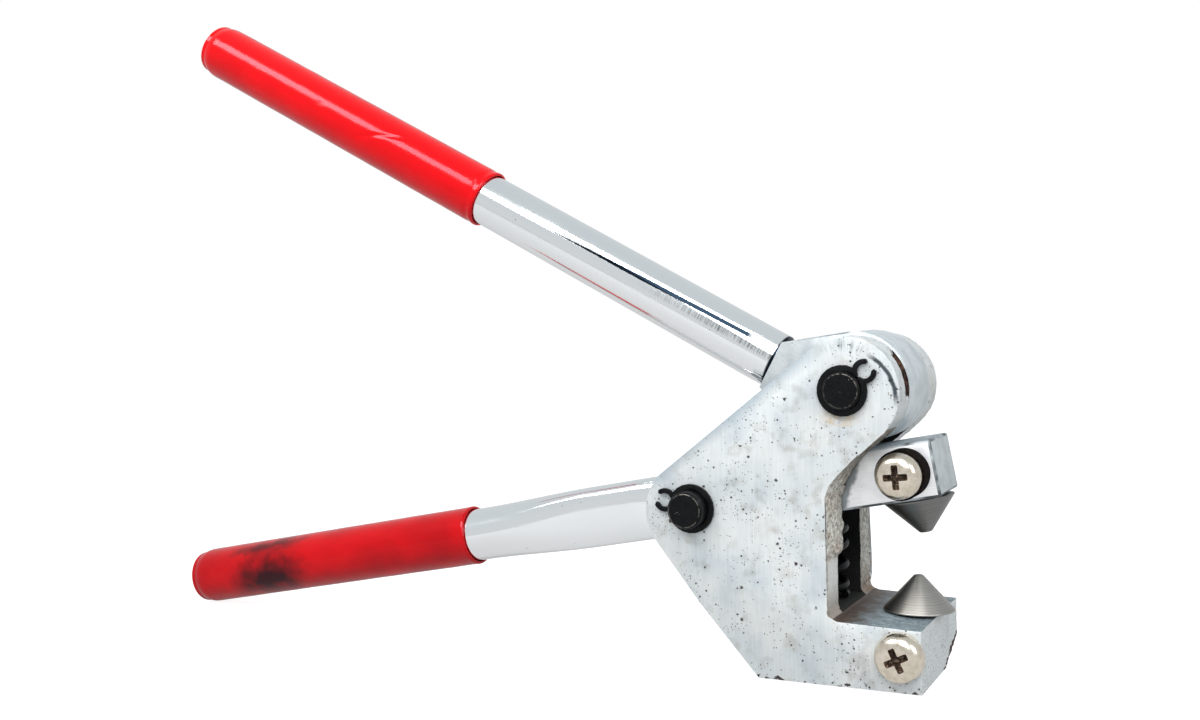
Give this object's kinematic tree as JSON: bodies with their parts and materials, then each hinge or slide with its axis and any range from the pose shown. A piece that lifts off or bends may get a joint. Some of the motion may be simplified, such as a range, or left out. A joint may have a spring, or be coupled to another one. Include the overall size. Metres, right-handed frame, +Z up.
{
  "type": "dimpling pliers",
  "caption": "Compound-lever bench pliers: slotted cast C-frame, sprung pivoting jaw, two opposed cone dies, chromed tube handles with red grips.",
  "frame": {"origin": "middle of the cast frame's flat bottom face", "axes": "+X out of the jaws, away from the handles; +Z up; -Y is the side with the two die screws' heads"},
  "size_m": [0.2582, 0.0556, 0.1967],
  "materials": {
    "plated_casting": "plated casting with ground faces and small pits",
    "lever_steel": "ground and bright plated",
    "chromed_tube": "bright chrome",
    "red_vinyl": "glossy dipped vinyl",
    "black_oxide": "black oxide, oiled",
    "nickel_screw": "nickel plated",
    "die_steel": "turned steel with fine tool marks"
  },
  "bodies": {
    "frame": {"frame": "plated_casting", "upper_pivot_pin": "black_oxide", "lower_pivot_pin": "black_oxide", "upper_clip_front": "black_oxide", "upper_clip_back": "black_oxide", "lower_clip_front": "black_oxide", "lower_clip_back": "black_oxide", "fixed_die": "die_steel", "fixed_die_screw": "nickel_screw", "return_spring": "black_oxide", "spring_seat_pin": "black_oxide"},
    "jaw": {"jaw_lever": "lever_steel", "lower_handle_tube": "chromed_tube", "lower_grip": "red_vinyl", "moving_die": "die_steel", "moving_die_screw": "nickel_screw", "moving_die_spacer": "black_oxide"},
    "upper_handle": {"upper_lever": "lever_steel", "upper_handle_tube": "chromed_tube", "upper_grip": "red_vinyl"}
  },
  "joints": [
    {"name": "handle_pivot", "type": "hinge", "parent": "frame", "child": "upper_handle", "pos_m": [0.00256, 0, 0.07607], "axis": [0, -1, 0], "range_deg": [0, 22]},
    {"name": "jaw_pivot", "type": "hinge", "parent": "frame", "child": "jaw", "pos_m": [-0.03968, 0, 0.04381], "axis": [0, 1, 0], "range_deg": [0, 10.69], "stiffness_Nm_per_rad": 6, "springref_deg": -8.59, "deforming": ["return_spring"]}
  ],
  "couplings": [
    {"joint": "jaw_pivot", "follows": "handle_pivot", "ratio": 0.4859}
  ]
}
